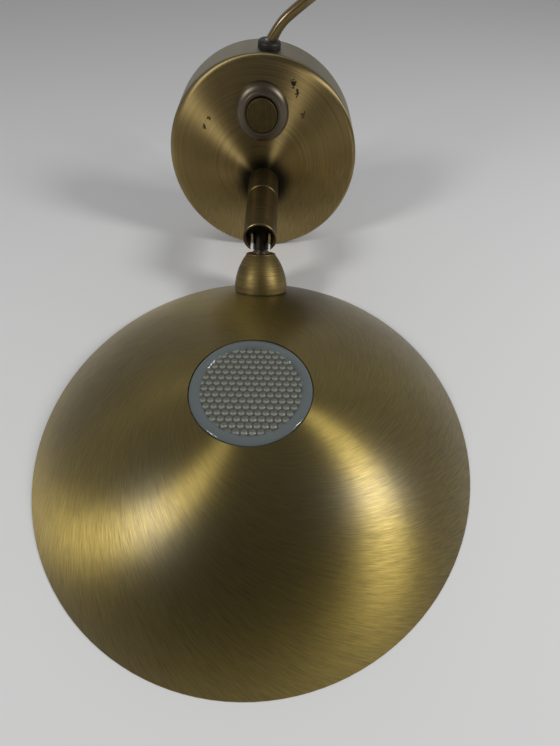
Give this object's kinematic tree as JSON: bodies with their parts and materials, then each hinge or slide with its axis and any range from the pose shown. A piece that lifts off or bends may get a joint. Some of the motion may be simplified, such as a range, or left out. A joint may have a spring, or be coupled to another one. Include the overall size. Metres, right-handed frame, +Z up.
{
  "type": "wall display light",
  "caption": "Wall display light: round canopy with push switch, short swivel arm, folding knuckle and a broad saucer head with one honeycomb lens, with its flex and plug.",
  "frame": {"origin": "centre of the canopy's open back, on the wall plane", "axes": "+Z up, -Y out from the wall towards the viewer, +X to the viewer's right"},
  "size_m": [0.1994, 0.3799, 0.132],
  "materials": {
    "bronzed_canopy": "brushed, bronzed and lacquered",
    "bronzed_saucer": "brushed in a swirl, bronzed and lacquered",
    "bronzed_tube": "brushed across, bronzed",
    "bronzed_bell": "brushed, bronzed",
    "bronzed_back": "bronze paint, satin",
    "bronzed_button": "brushed, bronzed",
    "bronzed_screw": "bronzed",
    "dark_bronze": "dark bronze, smooth",
    "zinc_steel": "zinc plated",
    "steel_screw": "zinc plated",
    "black_steel": "blackened",
    "black_nylon": "moulded",
    "clear_nylon": "moulded, milky",
    "driver_plastic": "moulded, white",
    "white_holder": "moulded, white",
    "board_white": "white solder mask on aluminium",
    "chip_phosphor": "silicone over phosphor",
    "sink_aluminium": "bare",
    "clear_lens": "clear acrylic with a honeycomb face",
    "black_rubber": "soft, matte",
    "gold_flex": "transparent gold sheath over two cores",
    "wire_insulation": "smooth",
    "tie_strap": "moulded",
    "plug_plastic": "moulded, brown",
    "plug_pin_metal": "nickel plated"
  },
  "bodies": {
    "base": {"canopy_shell": "bronzed_canopy", "wall_plate": "zinc_steel", "canopy_side_screws": "bronzed_screw", "led_driver": "driver_plastic", "driver_screws": "steel_screw", "terminal_block": "clear_nylon", "cord_clamp_base": "black_nylon", "cord_clamp_bar": "black_nylon", "clamp_screws": "steel_screw", "cord_grommet": "black_rubber", "cord_tail": "gold_flex", "supply_leads": "wire_insulation", "lamp_lead": "wire_insulation", "switch_body": "black_nylon", "switch_nut": "zinc_steel", "switch_bezel": "dark_bronze", "swivel_nipple": "zinc_steel", "nipple_washer": "zinc_steel", "nipple_nut": "zinc_steel", "swivel_collar": "bronzed_tube", "swivel_lock_nut": "zinc_steel", "mains_cord": "gold_flex", "cord_coil": "gold_flex", "coil_tie": "tie_strap", "plug_cord": "gold_flex", "plug_body": "plug_plastic", "plug_pins": "plug_pin_metal"},
    "button": {"switch_button": "bronzed_button"},
    "arm": {"arm_tube": "bronzed_tube", "arm_bush": "black_nylon", "hinge_fork": "black_steel", "fork_screw": "black_steel", "hinge_pin": "steel_screw", "friction_washers": "black_nylon", "arm_lead": "wire_insulation"},
    "head": {"hinge_tongue": "black_steel", "tongue_collar": "dark_bronze", "bell_cup": "bronzed_bell", "bell_gasket": "black_rubber", "bell_washer": "zinc_steel", "bell_nut": "zinc_steel", "shade_saucer": "bronzed_saucer", "lens": "clear_lens", "lens_holder": "white_holder", "led_board": "board_white", "led_chip": "chip_phosphor", "board_screws": "steel_screw", "heat_sink": "sink_aluminium", "shade_studs": "zinc_steel", "stud_nuts": "zinc_steel", "cover_pillars": "zinc_steel", "cover_screws": "bronzed_screw", "back_cover": "bronzed_back", "head_lead": "wire_insulation"}
  },
  "joints": [
    {"name": "button_press", "type": "slide", "parent": "base", "child": "button", "axis": [0, 1, 0], "range_m": [0, 0.0014], "stiffness_N_per_m": 900, "springref_m": -0.0015},
    {"name": "arm_swivel", "type": "hinge", "parent": "base", "child": "arm", "pos_m": [0, -0.0395, -0.0083], "axis": [0, -1, 0], "range_deg": [-165, 165]},
    {"name": "head_tilt", "type": "hinge", "parent": "arm", "child": "head", "pos_m": [0, -0.0632, -0.0083], "axis": [1, 0, 0], "range_deg": [-58.6, 31.4]}
  ]
}
